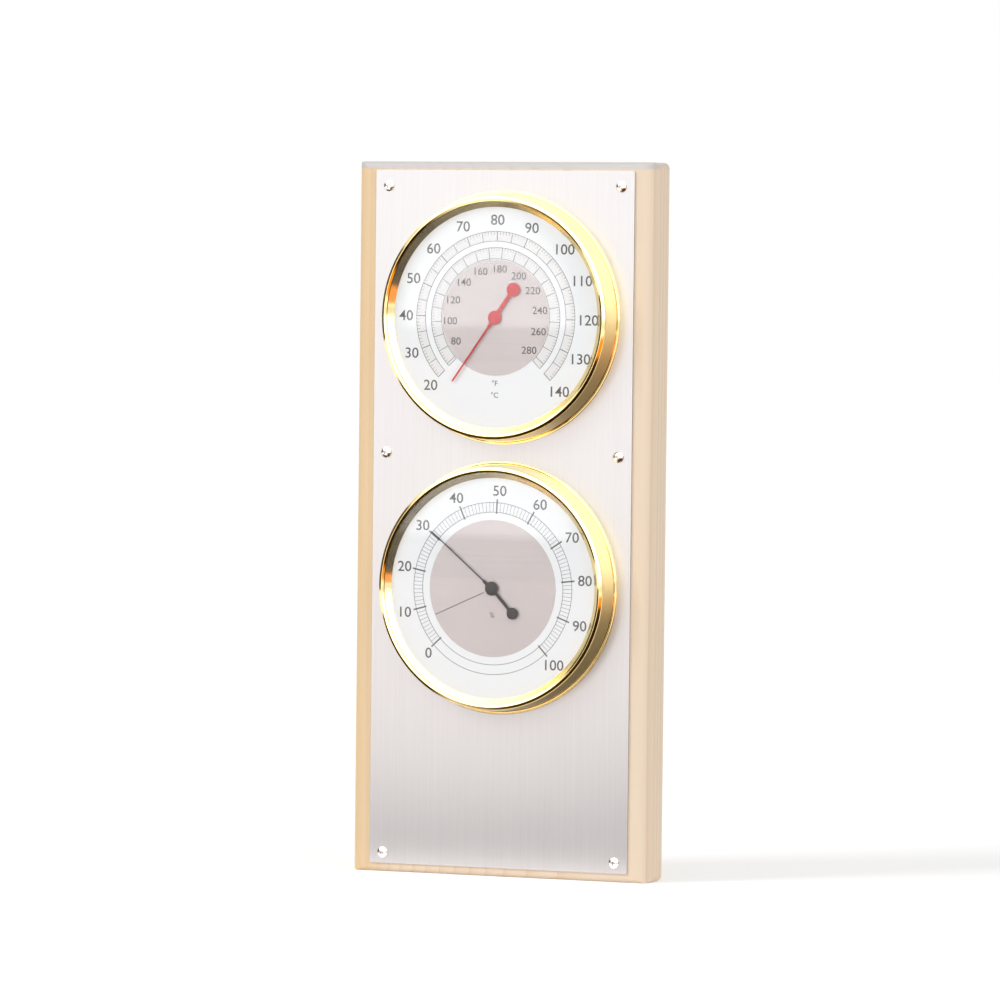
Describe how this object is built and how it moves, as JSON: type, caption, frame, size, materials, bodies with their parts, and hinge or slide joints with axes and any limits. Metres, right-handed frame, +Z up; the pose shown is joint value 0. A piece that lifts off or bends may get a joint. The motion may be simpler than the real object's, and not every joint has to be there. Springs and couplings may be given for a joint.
{
  "type": "thermo-hygrometer",
  "caption": "Wall thermo-hygrometer: round dial thermometer above a round dial hygrometer on a steel plate and a wooden back board, each pointer turning on its own coil.",
  "frame": {"origin": "centre of the back board's back face, which lies on the wall", "axes": "+Z up along the board, the front with the dials looks towards -Y, +X to the right seen from the front"},
  "size_m": [0.1316, 0.0268, 0.289],
  "materials": {
    "board": "planed pale softwood, unvarnished",
    "face_plate": "finely brushed stainless sheet",
    "screw_chrome": "bright plated",
    "screw_steel": "zinc plated",
    "hanger": "zinc plated sheet",
    "case": "drawn sheet",
    "movement_brass": "turned",
    "arbor_steel": "turned",
    "bimetal": "rolled strip",
    "hygro_strip": "moisture sensitive coated strip",
    "dial_white": "white lacquered sheet with printed scale",
    "dial_metal": "fine brushed",
    "gilt": "polished",
    "pane": "clear, slightly domed glass",
    "pointer_red": "satin lacquer",
    "pointer_black": "satin lacquer"
  },
  "bodies": {
    "root": {"back_board": "board", "face_plate": "face_plate", "plate_screws": "screw_chrome", "hanger_plate": "hanger", "hanger_screws": "screw_steel", "thermometer_case": "case", "thermometer_case_screws": "screw_steel", "thermometer_rear_bush": "movement_brass", "thermometer_pillars": "movement_brass", "thermometer_bridge": "movement_brass", "thermometer_bridge_screws": "screw_steel", "thermometer_front_bush": "movement_brass", "thermometer_coil_post": "movement_brass", "thermometer_dial": "dial_white", "thermometer_dial_centre": "dial_metal", "thermometer_spacer_ring": "gilt", "thermometer_glass": "pane", "thermometer_bezel": "gilt", "thermometer_coil": "bimetal", "hygrometer_case": "case", "hygrometer_case_screws": "screw_steel", "hygrometer_rear_bush": "movement_brass", "hygrometer_pillars": "movement_brass", "hygrometer_bridge": "movement_brass", "hygrometer_bridge_screws": "screw_steel", "hygrometer_front_bush": "movement_brass", "hygrometer_coil_post": "movement_brass", "hygrometer_dial": "dial_white", "hygrometer_dial_centre": "dial_metal", "hygrometer_spacer_ring": "gilt", "hygrometer_glass": "pane", "hygrometer_bezel": "gilt", "hygrometer_coil": "hygro_strip"},
    "thermometer_hand": {"thermometer_pointer": "pointer_red", "thermometer_staff": "arbor_steel", "thermometer_collet": "movement_brass"},
    "hygrometer_hand": {"hygrometer_pointer": "pointer_black", "hygrometer_staff": "arbor_steel", "hygrometer_collet": "movement_brass"}
  },
  "joints": [
    {"name": "thermometer_pointer_turn", "type": "hinge", "parent": "root", "child": "thermometer_hand", "pos_m": [0, -0.015, 0.0816], "axis": [0, 1, 0], "range_deg": [-35, 280], "stiffness_Nm_per_rad": 0.0005},
    {"name": "hygrometer_pointer_turn", "type": "hinge", "parent": "root", "child": "hygrometer_hand", "pos_m": [0, -0.015, -0.0275], "axis": [0, 1, 0], "range_deg": [-83, 188], "stiffness_Nm_per_rad": 0.0002}
  ]
}
